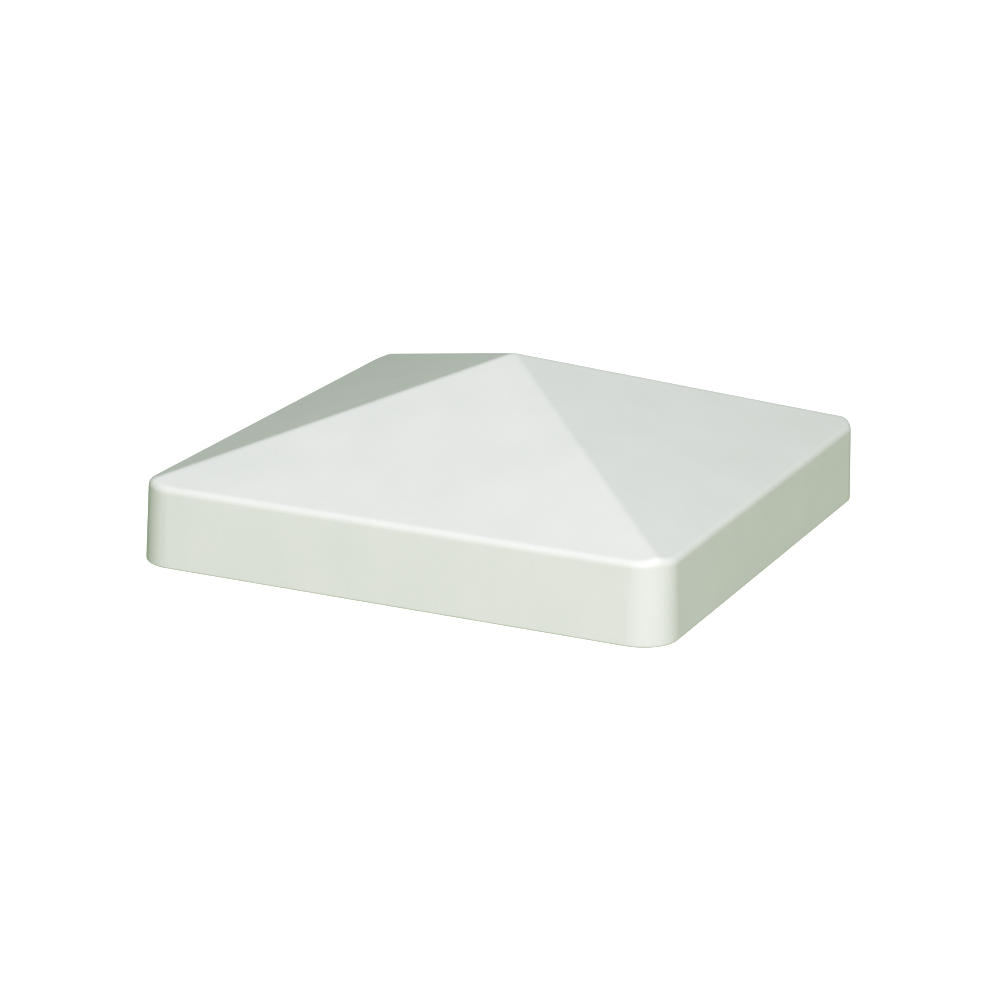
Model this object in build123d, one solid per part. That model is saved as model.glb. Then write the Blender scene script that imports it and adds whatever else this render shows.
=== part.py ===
from build123d import *

import math
import os

# External pyramid cap for a square hollow vinyl fence post: one injection-moulded PVC
# shell that slides down over the post head, and four strips of closed-cell foam tape
# stuck to the inside of its skirt, which the post squeezes so that the cap grips.
#
# Frame: origin at the middle of the open mouth, on the plane of the skirt's lower rim.
# +Z runs up to the peak, and the four sides of the skirt face +X, -X, +Y and -Y.

# --- Driving dimensions (millimetres and degrees) ---

# the post that the cap covers
POST_WIDTH = 127.0
POST_GUIDE_GAP = 0.3

# outer form of the moulding
WALL = 2.2
SKIRT_HEIGHT = 19.4
SKIRT_DRAFT = 2.2
ROOF_RISE = 24.6
CORNER_RADIUS = 9.0
HIP_RADIUS = 4.0
EAVE_RADIUS = 2.0
RIM_RADIUS = 0.5

# inside of the moulding
CORE_EDGE_RADIUS = 0.8
MOUTH_CHAMFER = 0.7

# ribs: eight stepped ones that guide the post and stop it, four that only stop it
RIB_EDGE_THICKNESS = 1.3
RIB_DRAFT = 0.75
GUIDE_HEIGHT = 1.0
GUIDE_START = 2.6
GUIDE_LEAD_IN = 3.0
GUIDE_INSET = 17.5
LANDING_HEIGHT = 15.0
LANDING_REACH = 12.0
LANDING_END_SLOPE = 12.0

# what the tool leaves under the roof: the gate in the middle, ejector pads around it
GATE_PAD_DIAMETER = 11.0
GATE_PAD_DEPTH = 1.0
GATE_STUB_DIAMETER = 2.6
GATE_STUB_LENGTH = 0.8
EJECTOR_PAD_DIAMETER = 5.0
EJECTOR_PAD_DEPTH = 0.3
EJECTOR_PAD_INSET = 29.0

# foam grip strips
STRIP_THICKNESS = 1.6
STRIP_RIM_GAP = 1.8
STRIP_LANDING_GAP = 1.2
STRIP_END_GAP = 6.0
STRIP_CORNER_RADIUS = 1.5

# --- Derived dimensions ---

SIDES = 4
SIDE_TURN = 360.0 / SIDES
DRAFT_RUN = math.tan(math.radians(SKIRT_DRAFT))
POST_HALF = POST_WIDTH / 2.0
GUIDE_FACE = POST_HALF + POST_GUIDE_GAP
INNER_HALF = GUIDE_FACE + GUIDE_HEIGHT
OUTER_HALF = INNER_HALF + WALL / math.cos(math.radians(SKIRT_DRAFT))
INNER_CORNER_RADIUS = max(CORNER_RADIUS - WALL, CORE_EDGE_RADIUS)
INNER_HIP_RADIUS = max(HIP_RADIUS - WALL, CORE_EDGE_RADIUS)

EAVE_HALF = OUTER_HALF - SKIRT_HEIGHT * DRAFT_RUN
ROOF_RUN = ROOF_RISE / EAVE_HALF
ROOF_SLOPE = math.atan(ROOF_RUN)
PEAK_HEIGHT = SKIRT_HEIGHT + ROOF_RISE
CORE_PEAK_HEIGHT = PEAK_HEIGHT - WALL / math.cos(ROOF_SLOPE)

# how far cutting bodies run past the surfaces that they cut, and how far below the
# eaves an edge may lie and still be rolled over with them
OVERCUT = 2.0
EAVE_MARGIN = 0.1

GUIDE_OFFSET = POST_HALF - GUIDE_INSET
STRIP_LENGTH = 2.0 * (GUIDE_OFFSET - RIB_EDGE_THICKNESS - STRIP_END_GAP)
STRIP_HEIGHT = LANDING_HEIGHT - STRIP_RIM_GAP - STRIP_LANDING_GAP
STRIP_SIDES = ("right", "back", "left", "front")


def half_width_at(mouth_half, height):
    """Half the width of a drafted wall at a height above the mouth."""
    return mouth_half - height * DRAFT_RUN


def eave_height(mouth_half, peak_height):
    """Height at which a drafted wall meets the roof slope that comes down from a peak."""
    return (peak_height - mouth_half * ROOF_RUN) / (1.0 - DRAFT_RUN * ROOF_RUN)


def pyramid_block(mouth_half, corner_radius, peak_height, hip_radius, eave_radius, base_height):
    """Drafted square prism under a hipped roof, with its hips and eaves rolled over.

    The outside of the cap and the core that forms its inside are both such blocks.
    """
    height = peak_height - base_height
    base_width = 2 * half_width_at(mouth_half, base_height)
    roof_foot = 2 * height / ROOF_RUN
    prism = extrude(
        RectangleRounded(base_width, base_width, corner_radius),
        amount=height + OVERCUT,
        taper=SKIRT_DRAFT,
    )
    roof = loft([Rectangle(roof_foot, roof_foot).face(), Vertex(0, 0, height)])
    hips = roof.edges().group_by(Axis.Z)[-1]
    block = Pos(0, 0, base_height) * (prism & fillet(hips, hip_radius))
    lowest_eave = eave_height(mouth_half, peak_height) - EAVE_MARGIN
    highest_eave = lowest_eave + corner_radius * ROOF_RUN
    eaves = block.edges().filter_by_position(Axis.Z, lowest_eave, highest_eave)
    return fillet(eaves, eave_radius)


def rib_blank(side_profile):
    """Rib cut from a side profile in the XZ plane, thicker towards the roof by the draft."""
    slab = extrude(
        Rectangle(4 * OUTER_HALF, RIB_EDGE_THICKNESS),
        amount=PEAK_HEIGHT,
        taper=-RIB_DRAFT,
    )
    plate = extrude(Plane.XZ * side_profile, amount=2 * RIB_EDGE_THICKNESS, both=True)
    return plate & slab


def landing_end(height):
    """Inner end of a landing rib, which leans towards the middle as it rises."""
    lean = (height - LANDING_HEIGHT) * math.tan(math.radians(LANDING_END_SLOPE))
    return POST_HALF - LANDING_REACH - lean


def stepped_rib():
    """Rib with a low guide face down the skirt, a lead-in and a flat landing for the post head."""
    return rib_blank(
        make_face(
            Polyline(
                (OUTER_HALF, GUIDE_START),
                (INNER_HALF, GUIDE_START),
                (GUIDE_FACE, GUIDE_START + GUIDE_LEAD_IN),
                (GUIDE_FACE, LANDING_HEIGHT),
                (landing_end(LANDING_HEIGHT), LANDING_HEIGHT),
                (landing_end(PEAK_HEIGHT), PEAK_HEIGHT),
                (OUTER_HALF, PEAK_HEIGHT),
                close=True,
            )
        )
    )


def landing_rib():
    """Rib at the middle of a side, which only stops the post head."""
    return rib_blank(
        make_face(
            Polyline(
                (OUTER_HALF, LANDING_HEIGHT),
                (landing_end(LANDING_HEIGHT), LANDING_HEIGHT),
                (landing_end(PEAK_HEIGHT), PEAK_HEIGHT),
                (OUTER_HALF, PEAK_HEIGHT),
                close=True,
            )
        )
    )


def gate_pad():
    """Flat round pad under the peak, with the stub where the gate was sheared off."""
    pad_height = CORE_PEAK_HEIGHT - GATE_PAD_DIAMETER / 2 * ROOF_RUN - GATE_PAD_DEPTH
    pad = extrude(Circle(GATE_PAD_DIAMETER / 2), amount=PEAK_HEIGHT - pad_height)
    stub = extrude(Circle(GATE_STUB_DIAMETER / 2), amount=-GATE_STUB_LENGTH, taper=RIB_DRAFT)
    return Pos(0, 0, pad_height) * (pad + stub)


def ejector_pad():
    """Level pad under one slope of the roof, square to the ejector pin that pushed on it."""
    from_middle = INNER_HALF - EJECTOR_PAD_INSET
    low_edge = from_middle + EJECTOR_PAD_DIAMETER / 2
    pad_height = CORE_PEAK_HEIGHT - low_edge * ROOF_RUN - EJECTOR_PAD_DEPTH
    return Pos(from_middle, 0, pad_height) * extrude(
        Circle(EJECTOR_PAD_DIAMETER / 2), amount=PEAK_HEIGHT - pad_height
    )


def cap_shell():
    """The moulding: the outer block less a core that is slotted for the ribs and pads."""
    outside = pyramid_block(OUTER_HALF, CORNER_RADIUS, PEAK_HEIGHT, HIP_RADIUS, EAVE_RADIUS, 0.0)
    core = pyramid_block(
        INNER_HALF, INNER_CORNER_RADIUS, CORE_PEAK_HEIGHT, INNER_HIP_RADIUS, CORE_EDGE_RADIUS, -OVERCUT
    )
    stepped = stepped_rib()
    landing = landing_rib()
    ejector = ejector_pad()
    for side in range(SIDES):
        turn = Rot(0, 0, side * SIDE_TURN)
        for offset in (-GUIDE_OFFSET, GUIDE_OFFSET):
            core -= turn * Pos(0, offset, 0) * stepped
        core -= turn * landing
        core -= turn * ejector
    core -= gate_pad()
    shell = outside - core
    rim = shell.faces().filter_by(Plane.XY).sort_by(Axis.Z)[0]
    shell = chamfer(rim.inner_wires()[0].edges(), MOUTH_CHAMFER)
    rim = shell.faces().filter_by(Plane.XY).sort_by(Axis.Z)[0]
    return fillet(rim.outer_wire().edges(), RIM_RADIUS)


def grip_strip():
    """Foam strip on the inner face of the +X skirt wall, below its landing rib."""
    middle_height = STRIP_RIM_GAP + STRIP_HEIGHT / 2
    wall_plane = Plane(
        origin=(half_width_at(INNER_HALF, middle_height), 0, middle_height),
        x_dir=(0, 1, 0),
        z_dir=(-math.cos(math.radians(SKIRT_DRAFT)), 0, -math.sin(math.radians(SKIRT_DRAFT))),
    )
    outline = RectangleRounded(STRIP_LENGTH, STRIP_HEIGHT, STRIP_CORNER_RADIUS)
    return extrude(wall_plane * outline, amount=STRIP_THICKNESS)


def main():
    """Build every piece and write one STEP file for each."""
    pieces = {"cap_shell": cap_shell()}
    strip = grip_strip()
    for index, side in enumerate(STRIP_SIDES):
        pieces["grip_strip_" + side] = Rot(0, 0, index * SIDE_TURN) * strip
    os.makedirs("parts", exist_ok=True)
    for name, piece in pieces.items():
        export_step(piece, "parts/" + name + ".step")
    print("width", round(2 * OUTER_HALF, 2), "height", PEAK_HEIGHT)
    print("roof slope", round(math.degrees(ROOF_SLOPE), 2))


if __name__ == "__main__":
    main()
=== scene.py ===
import logging
import math
from dataclasses import dataclass, field
from enum import Enum

import bmesh
import bpy
from mathutils import Matrix, Vector, noise


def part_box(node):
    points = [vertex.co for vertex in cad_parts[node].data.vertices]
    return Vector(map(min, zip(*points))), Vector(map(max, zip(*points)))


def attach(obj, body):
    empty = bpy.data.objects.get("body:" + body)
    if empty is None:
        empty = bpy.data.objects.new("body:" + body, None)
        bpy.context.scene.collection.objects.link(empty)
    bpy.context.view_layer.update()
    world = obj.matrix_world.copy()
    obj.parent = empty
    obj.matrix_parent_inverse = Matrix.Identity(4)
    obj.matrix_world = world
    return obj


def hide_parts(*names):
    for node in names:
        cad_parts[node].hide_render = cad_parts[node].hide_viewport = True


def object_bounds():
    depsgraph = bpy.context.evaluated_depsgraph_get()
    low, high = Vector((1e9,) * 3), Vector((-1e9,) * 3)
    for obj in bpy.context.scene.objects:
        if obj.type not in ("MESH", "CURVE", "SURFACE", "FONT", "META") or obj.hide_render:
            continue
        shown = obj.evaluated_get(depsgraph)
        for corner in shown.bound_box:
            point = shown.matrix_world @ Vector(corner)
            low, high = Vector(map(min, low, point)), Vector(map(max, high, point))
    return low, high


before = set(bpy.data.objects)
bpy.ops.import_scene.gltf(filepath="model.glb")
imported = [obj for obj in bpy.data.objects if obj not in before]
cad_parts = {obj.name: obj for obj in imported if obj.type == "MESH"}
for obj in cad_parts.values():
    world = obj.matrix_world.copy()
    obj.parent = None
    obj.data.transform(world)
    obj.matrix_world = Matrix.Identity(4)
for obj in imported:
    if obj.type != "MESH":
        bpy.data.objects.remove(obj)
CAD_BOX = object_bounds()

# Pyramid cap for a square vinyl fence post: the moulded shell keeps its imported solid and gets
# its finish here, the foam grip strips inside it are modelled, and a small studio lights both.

MM = 0.001
ROOT_BODY = "root"
SHELL_NODE = "cap_shell"
SKIRT_DRAFT = math.radians(2.2)
SMALLEST_RADIUS = 0.1 * MM
ARC_STEPS = 5
EDGE_STEPS = 22
log = logging.getLogger("post_cap")


class Side(Enum):
    """The four sides of the skirt, each with the compass turn of its outward normal."""

    RIGHT = ("right", 0.0)
    BACK = ("back", 90.0)
    LEFT = ("left", 180.0)
    FRONT = ("front", 270.0)

    @property
    def label(self) -> str:
        """Word for the side in piece names."""
        return self.value[0]

    @property
    def outward(self) -> Vector:
        """Horizontal unit normal of the side."""
        turn = math.radians(self.value[1])
        return Vector((math.cos(turn), math.sin(turn), 0.0))

    @property
    def along(self) -> Vector:
        """Horizontal unit vector along the side."""
        return Vector((0.0, 0.0, 1.0)).cross(self.outward)


class Slot(Enum):
    """Names for material slots; nothing in the script uses them."""

    VINYL = "vinyl_white"
    FOAM = "foam_tape"


def linear(hex_colour: str) -> tuple[float, float, float, float]:
    """Turn an sRGB hex colour into the linear values that shaders take.

    Args:
        hex_colour: Colour as "#RRGGBB".

    Returns:
        Linear red, green and blue, and an alpha of one.
    """
    channels = [int(hex_colour[i:i + 2], 16) / 255.0 for i in (1, 3, 5)]
    red, green, blue = (c / 12.92 if c <= 0.04045 else ((c + 0.055) / 1.055) ** 2.4 for c in channels)
    return (red, green, blue, 1.0)


def direction(azimuth_deg: float, elevation_deg: float) -> Vector:
    """Unit vector from the cap towards a place in the studio.

    Args:
        azimuth_deg: Turn from the front side towards the right side.
        elevation_deg: Height above the floor as an angle.

    Returns:
        The unit vector.
    """
    turn, rise = math.radians(azimuth_deg), math.radians(elevation_deg)
    return Vector((math.sin(turn) * math.cos(rise), -math.cos(turn) * math.cos(rise), math.sin(rise)))


def add_node(
    tree: bpy.types.NodeTree,
    kind: str,
    settings: dict[str, object] | None = None,
    inputs: dict[str | int, object] | None = None,
) -> bpy.types.Node:
    """Add a shader node with its settings, and set or link its inputs.

    Args:
        tree: Node tree that takes the node.
        kind: Blender's type name of the node.
        settings: Attributes of the node.
        inputs: Input name or index to a value, or to the output socket that feeds it.

    Returns:
        The new node.
    """
    node = tree.nodes.new(kind)
    for name, value in (settings or {}).items():
        setattr(node, name, value)
    for name, value in (inputs or {}).items():
        if isinstance(value, bpy.types.NodeSocket):
            tree.links.new(value, node.inputs[name])
        else:
            node.inputs[name].default_value = value
    return node


def per_metre(feature_mm: float) -> float:
    """Texture scale that gives features of a size in millimetres."""
    return 1.0 / (feature_mm * MM)


@dataclass(frozen=True)
class MouldedPvc:
    """Rigid white PVC, injection moulded against a finely spark-eroded tool.

    The eye sees a satin white with a faint green cast, a fine even grain that breaks up the
    gloss, and a slow drift of tone where the melt flowed.
    """

    name: str = "injection_moulded_white_pvc"
    pigment: str = "#EEF1EC"
    drift_pigment: str = "#E8ECE6"
    ior: float = 1.53
    roughness_low: float = 0.40
    roughness_high: float = 0.50
    grain_mm: float = 0.9
    grain_depth_mm: float = 0.02
    drift_mm: float = 16.0
    speck_share: float = 0.35

    def make(self) -> bpy.types.Material:
        """Build the material.

        Returns:
            The finished material.
        """
        material = bpy.data.materials.new(self.name)
        material.use_nodes = True
        tree = material.node_tree
        tree.nodes.clear()
        place = add_node(tree, "ShaderNodeTexCoord").outputs["Object"]
        # the grain of a spark-eroded tool is near 0.1 mm; it is drawn coarser so that it shows
        grain = add_node(
            tree, "ShaderNodeTexNoise",
            inputs={"Vector": place, "Scale": per_metre(self.grain_mm), "Detail": 3.0, "Roughness": 0.6},
        )
        drift = add_node(
            tree, "ShaderNodeTexNoise",
            inputs={"Vector": place, "Scale": per_metre(self.drift_mm), "Detail": 2.0, "Roughness": 0.5},
        )
        tone = add_node(
            tree, "ShaderNodeMix", {"data_type": "FLOAT"},
            {0: self.speck_share, 2: drift.outputs["Fac"], 3: grain.outputs["Fac"]},
        )
        spread = add_node(
            tree, "ShaderNodeMapRange",
            inputs={"Value": tone.outputs[0], "From Min": 0.3, "From Max": 0.7, "To Min": 0.0, "To Max": 1.0},
        )
        colour = add_node(
            tree, "ShaderNodeMix", {"data_type": "RGBA"},
            {0: spread.outputs["Result"], 6: linear(self.pigment), 7: linear(self.drift_pigment)},
        )
        gloss = add_node(
            tree, "ShaderNodeMapRange",
            inputs={
                "Value": grain.outputs["Fac"], "From Min": 0.3, "From Max": 0.7,
                "To Min": self.roughness_low, "To Max": self.roughness_high,
            },
        )
        bump = add_node(
            tree, "ShaderNodeBump",
            inputs={"Strength": 0.35, "Distance": self.grain_depth_mm * MM, "Height": grain.outputs["Fac"]},
        )
        shader = add_node(
            tree, "ShaderNodeBsdfPrincipled",
            inputs={
                "Base Color": colour.outputs[2], "Roughness": gloss.outputs["Result"],
                "IOR": self.ior, "Normal": bump.outputs["Normal"],
            },
        )
        add_node(tree, "ShaderNodeOutputMaterial", inputs={"Surface": shader.outputs["BSDF"]})
        return material


@dataclass(frozen=True)
class ClosedCellFoam:
    """Black EPDM foam tape, blown with closed cells and slit from a roll.

    The eye sees a dull charcoal with pin-prick cells; the wall of each cell is painted a little paler, a
    painted highlight where a wall would catch the light.
    """

    name: str = "closed_cell_epdm_foam"
    rubber: str = "#262628"
    cell_wall_highlight: str = "#3A3A3C"
    roughness: float = 0.92
    cell_mm: float = 0.45
    cell_depth_mm: float = 0.12

    def make(self) -> bpy.types.Material:
        """Build the material.

        Returns:
            The finished material.
        """
        material = bpy.data.materials.new(self.name)
        material.use_nodes = True
        tree = material.node_tree
        tree.nodes.clear()
        place = add_node(tree, "ShaderNodeTexCoord").outputs["Object"]
        cells = add_node(
            tree, "ShaderNodeTexVoronoi", {"feature": "DISTANCE_TO_EDGE"},
            {"Vector": place, "Scale": per_metre(self.cell_mm), "Randomness": 1.0},
        )
        cell_walls_and_highlight = add_node(
            tree, "ShaderNodeMapRange",
            inputs={
                "Value": cells.outputs["Distance"], "From Min": 0.0, "From Max": 0.25,
                "To Min": 1.0, "To Max": 0.0,
            },
        )
        # painted highlight: the rim of each cell is coloured paler in the base colour, the same under any
        # lamp; the same mask also raises each rim in the bump
        colour = add_node(
            tree, "ShaderNodeMix", {"data_type": "RGBA"},
            {0: cell_walls_and_highlight.outputs["Result"], 6: linear(self.rubber), 7: linear(self.cell_wall_highlight)},
        )
        bump = add_node(
            tree, "ShaderNodeBump",
            inputs={"Strength": 0.6, "Distance": self.cell_depth_mm * MM, "Height": cell_walls_and_highlight.outputs["Result"]},
        )
        shader = add_node(
            tree, "ShaderNodeBsdfPrincipled",
            inputs={
                "Base Color": colour.outputs[2], "Roughness": self.roughness,
                "Specular IOR Level": 0.3, "Normal": bump.outputs["Normal"],
            },
        )
        add_node(tree, "ShaderNodeOutputMaterial", inputs={"Surface": shader.outputs["BSDF"]})
        return material


@dataclass(frozen=True)
class AcrylicFilm:
    """Clear-cast acrylic adhesive on a thin carrier, laid from a roll.

    The eye sees only its edge: a pale, slightly wet line between foam and vinyl.
    """

    name: str = "acrylic_adhesive_film"
    resin: str = "#D9D6C6"
    roughness: float = 0.22
    ripple_mm: float = 2.5

    def make(self) -> bpy.types.Material:
        """Build the material.

        Returns:
            The finished material.
        """
        material = bpy.data.materials.new(self.name)
        material.use_nodes = True
        tree = material.node_tree
        tree.nodes.clear()
        place = add_node(tree, "ShaderNodeTexCoord").outputs["Object"]
        ripple = add_node(
            tree, "ShaderNodeTexNoise",
            inputs={"Vector": place, "Scale": per_metre(self.ripple_mm), "Detail": 2.0},
        )
        bump = add_node(
            tree, "ShaderNodeBump",
            inputs={"Strength": 0.2, "Distance": 0.02 * MM, "Height": ripple.outputs["Fac"]},
        )
        shader = add_node(
            tree, "ShaderNodeBsdfPrincipled",
            inputs={
                "Base Color": linear(self.resin), "Roughness": self.roughness,
                "Normal": bump.outputs["Normal"],
            },
        )
        add_node(tree, "ShaderNodeOutputMaterial", inputs={"Surface": shader.outputs["BSDF"]})
        return material


@dataclass
class CapShell:
    """The moulded shell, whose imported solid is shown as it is."""

    finish: MouldedPvc = field(default_factory=MouldedPvc)

    def dress(self) -> bpy.types.Object:
        """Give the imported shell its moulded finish.

        Returns:
            The shell's object.
        """
        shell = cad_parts[SHELL_NODE]
        shell.material_slots[0].material = self.finish.make()
        return shell


def rounded_outline(
    half_length: float, half_height: float, radius: float, arc_steps: int, edge_steps: int
) -> list[tuple[float, float]]:
    """Points round a rectangle with rounded corners, anticlockwise.

    Args:
        half_length: Half the length.
        half_height: Half the height.
        radius: Corner radius.
        arc_steps: Steps in each corner.
        edge_steps: Steps between the ends of each straight side.

    Returns:
        The points, with the first not repeated.
    """
    points: list[tuple[float, float]] = []
    centres = [
        (half_length - radius, half_height - radius), (radius - half_length, half_height - radius),
        (radius - half_length, radius - half_height), (half_length - radius, radius - half_height),
    ]
    for corner, (x, y) in enumerate(centres):
        for step in range(arc_steps + 1):
            turn = math.radians(90.0) * (corner + step / arc_steps)
            points.append((x + radius * math.cos(turn), y + radius * math.sin(turn)))
        start = points[-1]
        following = centres[(corner + 1) % len(centres)]
        turn = math.radians(90.0) * (corner + 1)
        end = (following[0] + radius * math.cos(turn), following[1] + radius * math.sin(turn))
        for step in range(1, edge_steps):
            share = step / edge_steps
            points.append((start[0] + (end[0] - start[0]) * share, start[1] + (end[1] - start[1]) * share))
    return points


@dataclass(frozen=True)
class StripSeat:
    """Where a strip lies on the drafted inner wall, worked out from the box of its solid."""

    side: Side
    length: float
    height: float
    thickness: float
    foot: Vector

    @classmethod
    def of_node(cls, side: Side, node: str) -> "StripSeat":
        """Read the seat from a packed strip.

        Args:
            side: Side of the skirt that carries the strip.
            node: Name of the strip's node.

        Returns:
            The strip's sizes, and the middle of the lower edge of its glued face.
        """
        low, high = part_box(node)
        corners = [
            Vector((x, y, z)) for x in (low.x, high.x) for y in (low.y, high.y) for z in (low.z, high.z)
        ]
        reach = [corner.dot(side.outward) for corner in corners]
        spread = [corner.dot(side.along) for corner in corners]
        rise, depth = high.z - low.z, max(reach) - min(reach)
        height = (rise * math.cos(SKIRT_DRAFT) - depth * math.sin(SKIRT_DRAFT)) / math.cos(2 * SKIRT_DRAFT)
        thickness = (depth * math.cos(SKIRT_DRAFT) - rise * math.sin(SKIRT_DRAFT)) / math.cos(2 * SKIRT_DRAFT)
        foot = side.outward * max(reach)
        foot.z = low.z + thickness * math.sin(SKIRT_DRAFT)
        return cls(side, max(spread) - min(spread), height, thickness, foot)

    def point(self, along: float, up: float, off: float) -> Vector:
        """Place a point on the strip.

        Args:
            along: Distance along the wall from the strip's middle.
            up: Distance up the wall from the strip's middle.
            off: Distance off the wall.

        Returns:
            The point in the cap's frame.
        """
        climb = Vector((0.0, 0.0, math.cos(SKIRT_DRAFT))) - self.side.outward * math.sin(SKIRT_DRAFT)
        inward = -self.side.outward * math.cos(SKIRT_DRAFT) - Vector((0.0, 0.0, math.sin(SKIRT_DRAFT)))
        return self.foot + climb * (self.height / 2 + up) + self.side.along * along + inward * off


def ring_solid(
    name: str, seat: StripSeat, rings: list[tuple[float, float]], radius: float
) -> bpy.types.Object:
    """Build a closed pad from rounded outlines stacked off the wall.

    Args:
        name: Name of the piece.
        seat: Where the pad lies.
        rings: Inset from the pad's outline and distance off the wall, from the glued face out.
        radius: Corner radius of the widest outline.

    Returns:
        The new object.
    """
    mesh = bmesh.new()
    loops: list[list[bmesh.types.BMVert]] = []
    for inset, off in rings:
        outline = rounded_outline(
            seat.length / 2 - inset, seat.height / 2 - inset, max(radius - inset, SMALLEST_RADIUS),
            ARC_STEPS, EDGE_STEPS,
        )
        loops.append([mesh.verts.new(seat.point(along, up, off)) for along, up in outline])
    for lower, upper in zip(loops, loops[1:]):
        for i in range(len(lower)):
            j = (i + 1) % len(lower)
            mesh.faces.new((lower[i], lower[j], upper[j], upper[i]))
    mesh.faces.new(list(reversed(loops[0])))
    mesh.faces.new(loops[-1])
    bmesh.ops.recalc_face_normals(mesh, faces=mesh.faces)
    data = bpy.data.meshes.new(name)
    mesh.to_mesh(data)
    mesh.free()
    for polygon in data.polygons:
        polygon.use_smooth = True
    piece = bpy.data.objects.new(name, data)
    bpy.context.scene.collection.objects.link(piece)
    return piece


@dataclass
class GripStrip:
    """One strip of foam tape with its adhesive film, on the inner wall of one side."""

    side: Side
    film_thickness: float = 0.13 * MM
    film_gap: float = 0.01 * MM
    film_inset: float = 0.05 * MM
    corner_radius: float = 1.5 * MM
    edge_roll: float = 0.28 * MM
    waist: float = 0.14 * MM
    crown: float = 0.06 * MM
    ripple: float = 0.035 * MM
    ripple_size: float = 3.0 * MM
    foot_height: float = 0.1 * MM
    shoulder: float = 0.6
    crown_flat: float = 0.6 * MM
    crown_turn: float = 1.57
    glued_insets: tuple[float, ...] = (3.0 * MM, 0.6 * MM, 0.05 * MM)
    waist_profile: tuple[tuple[float, float], ...] = ((0.3, 0.7), (0.5, 1.0), (0.7, 0.7))
    crown_shares: tuple[float, ...] = (0.2, 0.45, 0.75, 1.0)

    @property
    def node(self) -> str:
        """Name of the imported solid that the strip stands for."""
        return "grip_strip_" + self.side.label

    def foam_rings(self, seat: StripSeat) -> list[tuple[float, float]]:
        """Rings of the foam: a slit edge drawn in at its waist, a rolled edge, a low crown.

        Args:
            seat: Where the foam lies.

        Returns:
            Inset and distance off the wall of each ring, from the glued face out.
        """
        base, face = self.film_thickness + self.film_gap, seat.thickness - self.crown
        rings = [(inset, base) for inset in self.glued_insets]
        rings.append((0.0, base + self.foot_height))
        for share, drawn_in in self.waist_profile:
            rings.append((self.waist * drawn_in, base + (face - base) * share))
        rings.append((self.waist * self.shoulder, face - self.edge_roll))
        for step in (1, 2, 3):
            turn = math.radians(30.0 * step)
            rings.append(
                (self.waist * self.shoulder + self.edge_roll * (1 - math.cos(turn)),
                 face - self.edge_roll * (1 - math.sin(turn)))
            )
        outer = rings[-1][0]
        inner = seat.height / 2 - self.crown_flat
        for share in self.crown_shares:
            lift = self.crown * math.sin(share * self.crown_turn)
            rings.append((outer + (inner - outer) * share, face + lift))
        return rings

    def build(self, foam: bpy.types.Material, film: bpy.types.Material) -> list[bpy.types.Object]:
        """Model the foam and the film under it.

        Args:
            foam: Material of the foam.
            film: Material of the adhesive film.

        Returns:
            The foam piece and the film piece.
        """
        seat = StripSeat.of_node(self.side, self.node)
        pad = ring_solid("foam_" + self.side.label, seat, self.foam_rings(seat), self.corner_radius)
        inward = -self.side.outward
        for vertex in pad.data.vertices:
            lift = noise.noise(vertex.co / self.ripple_size) - 1.0
            off_wall = (seat.foot - vertex.co).dot(self.side.outward)
            if off_wall > seat.thickness / 2:
                vertex.co += inward * lift * self.ripple
        pad.data.materials.append(foam)
        pad.modifiers.new("rounding", "SUBSURF").render_levels = 1
        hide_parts(self.node)
        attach(pad, ROOT_BODY)
        rings = [(self.film_inset, self.film_gap), (self.film_inset, self.film_thickness)]
        layer = ring_solid("adhesive_" + self.side.label, seat, rings, self.corner_radius)
        layer.data.materials.append(film)
        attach(layer, ROOT_BODY)
        return [pad, layer]


@dataclass
class StudioFloor:
    """Pale seamless floor that glows by itself and sheds neither light nor shadow on the cap."""

    half_width: float = 6.0
    paper: str = "#F4F4F2"
    glow: float = 1.15

    def build(self) -> bpy.types.Object:
        """Lay the floor and mark it as stage.

        Returns:
            Lay the floor and set it to give the cap no bounce light, reflection or shadow.
        """
        data = bpy.data.meshes.new("studio_floor")
        half = self.half_width
        corners = [(-half, -half, 0), (half, -half, 0), (half, half, 0), (-half, half, 0)]
        data.from_pydata(corners, [], [(0, 1, 2, 3)])
        floor = bpy.data.objects.new("studio_floor", data)
        bpy.context.scene.collection.objects.link(floor)
        material = bpy.data.materials.new("seamless_paper")
        material.use_nodes = True
        tree = material.node_tree
        tree.nodes.clear()
        sheet = add_node(tree, "ShaderNodeBsdfDiffuse", inputs={"Color": linear(self.paper)})
        lamp = add_node(
            tree, "ShaderNodeEmission", inputs={"Color": linear(self.paper), "Strength": self.glow}
        )
        front = add_node(tree, "ShaderNodeAddShader", inputs={0: sheet.outputs[0], 1: lamp.outputs[0]})
        clear = add_node(tree, "ShaderNodeBsdfTransparent")
        facing = add_node(tree, "ShaderNodeNewGeometry")
        surface = add_node(
            tree, "ShaderNodeMixShader",
            inputs={0: facing.outputs["Backfacing"], 1: front.outputs[0], 2: clear.outputs[0]},
        )
        add_node(tree, "ShaderNodeOutputMaterial", inputs={"Surface": surface.outputs[0]})
        data.materials.append(material)
        floor.visible_diffuse = False
        floor.visible_glossy = False
        floor.visible_shadow = False
        return floor


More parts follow.
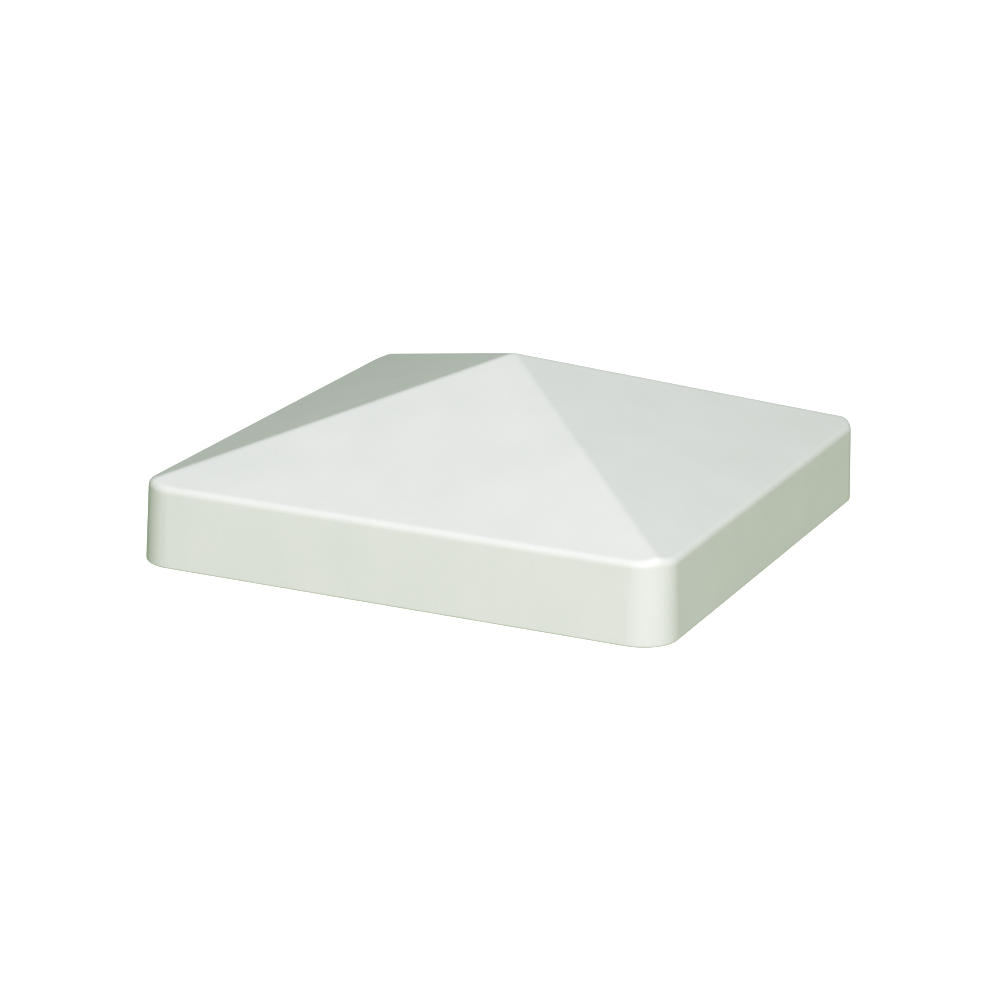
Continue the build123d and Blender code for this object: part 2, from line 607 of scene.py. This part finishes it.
@dataclass
class SoftBox:
    """One soft area light, aimed at the cap."""

    name: str
    azimuth_deg: float
    elevation_deg: float
    distance: float
    width: float
    power: float
    tint: str = "#FFFFFF"

    def place(self, aim: Vector) -> bpy.types.Object:
        """Set the light up.

        Args:
            aim: Point that the light faces.

        Returns:
            The light's object.
        """
        data = bpy.data.lights.new(self.name, "AREA")
        data.shape = "DISK"
        data.size = self.width
        data.energy = self.power
        data.color = linear(self.tint)[:3]
        light = bpy.data.objects.new(self.name, data)
        towards = direction(self.azimuth_deg, self.elevation_deg)
        light.location = aim + towards * self.distance
        light.rotation_mode = "QUATERNION"
        light.rotation_quaternion = (-towards).to_track_quat("-Z", "Y")
        bpy.context.scene.collection.objects.link(light)
        return light


@dataclass
class Surroundings:
    """Soft light from the whole room: a dim upper half and a brighter lower half, both greenish."""

    upper: str = "#CDFFD0"
    upper_strength: float = 0.18
    lower: str = "#E7FFC5"
    lower_strength: float = 0.35

    def build(self) -> None:
        """Light the world behind the scene."""
        world = bpy.data.worlds.new("room")
        bpy.context.scene.world = world
        world.use_nodes = True
        tree = world.node_tree
        tree.nodes.clear()
        heading = add_node(tree, "ShaderNodeTexCoord").outputs["Generated"]
        height = add_node(tree, "ShaderNodeSeparateXYZ", inputs={"Vector": heading})
        share = add_node(
            tree, "ShaderNodeMapRange", {"interpolation_type": "SMOOTHSTEP"},
            {"Value": height.outputs["Z"], "From Min": -0.25, "From Max": 0.45, "To Min": 0.0, "To Max": 1.0},
        )
        low = add_node(
            tree, "ShaderNodeBackground",
            inputs={"Color": linear(self.lower), "Strength": self.lower_strength},
        )
        high = add_node(
            tree, "ShaderNodeBackground",
            inputs={"Color": linear(self.upper), "Strength": self.upper_strength},
        )
        both = add_node(
            tree, "ShaderNodeMixShader",
            inputs={0: share.outputs["Result"], 1: low.outputs[0], 2: high.outputs[0]},
        )
        add_node(tree, "ShaderNodeOutputWorld", inputs={"Surface": both.outputs[0]})


@dataclass
class ProductCamera:
    """Long-lens camera that looks down on the near corner of the cap."""

    azimuth_deg: float = 23.87
    elevation_deg: float = 17.49
    roll_deg: float = 1.24
    lens_mm: float = 128.96
    distance_in_widths: float = 6.665
    aim_in_widths: tuple[float, float, float] = (-0.0816, 0.1390, 0.0)

    def build(self, cap_width: float) -> bpy.types.Object:
        """Set the camera up and make it the scene's own.

        Args:
            cap_width: Outside width of the skirt.

        Returns:
            The camera's object.
        """
        data = bpy.data.cameras.new("product_camera")
        data.lens = self.lens_mm
        data.clip_start, data.clip_end = 0.01, 100.0
        camera = bpy.data.objects.new("product_camera", data)
        back = direction(self.azimuth_deg, self.elevation_deg)
        level = Vector((0.0, 0.0, 1.0)).cross(back).normalized()
        upright = back.cross(level)
        roll = math.radians(self.roll_deg)
        right = level * math.cos(roll) + upright * math.sin(roll)
        above = upright * math.cos(roll) - level * math.sin(roll)
        place = Vector(self.aim_in_widths) * cap_width + back * self.distance_in_widths * cap_width
        camera.matrix_world = Matrix.Translation(place) @ Matrix((right, above, back)).transposed().to_4x4()
        bpy.context.scene.collection.objects.link(camera)
        bpy.context.scene.camera = camera
        return camera


def key_light() -> SoftBox:
    """Main softbox, a little to the right of the camera and well above it."""
    return SoftBox("key", 31.0, 40.0, 2.0, 0.72, 42.5, "#FCF2FF")


def main() -> None:
    """Build the cap and its studio in order, and log each piece."""
    logging.basicConfig(level=logging.INFO, format="%(name)s: %(message)s")
    low, high = CAD_BOX
    cap_width = high.x - low.x
    ProductCamera().build(cap_width)
    shell = CapShell().dress()
    log.info("dressed %s, %d faces", shell.name, len(shell.data.polygons))
    foam, film = ClosedCellFoam().make(), AcrylicFilm().make()
    for side in Side:
        for piece in GripStrip(side).build(foam, film):
            log.info("modelled %s, %d faces", piece.name, len(piece.data.polygons))
    StudioFloor().build()
    Surroundings().build()
    aim = Vector((0.0, 0.0, (low.z + high.z) / 2))
    for box in (key_light(),):
        log.info("lit by %s", box.place(aim).name)
    bpy.context.scene.view_settings.view_transform = "Standard"


if __name__ == "__main__":
    main()
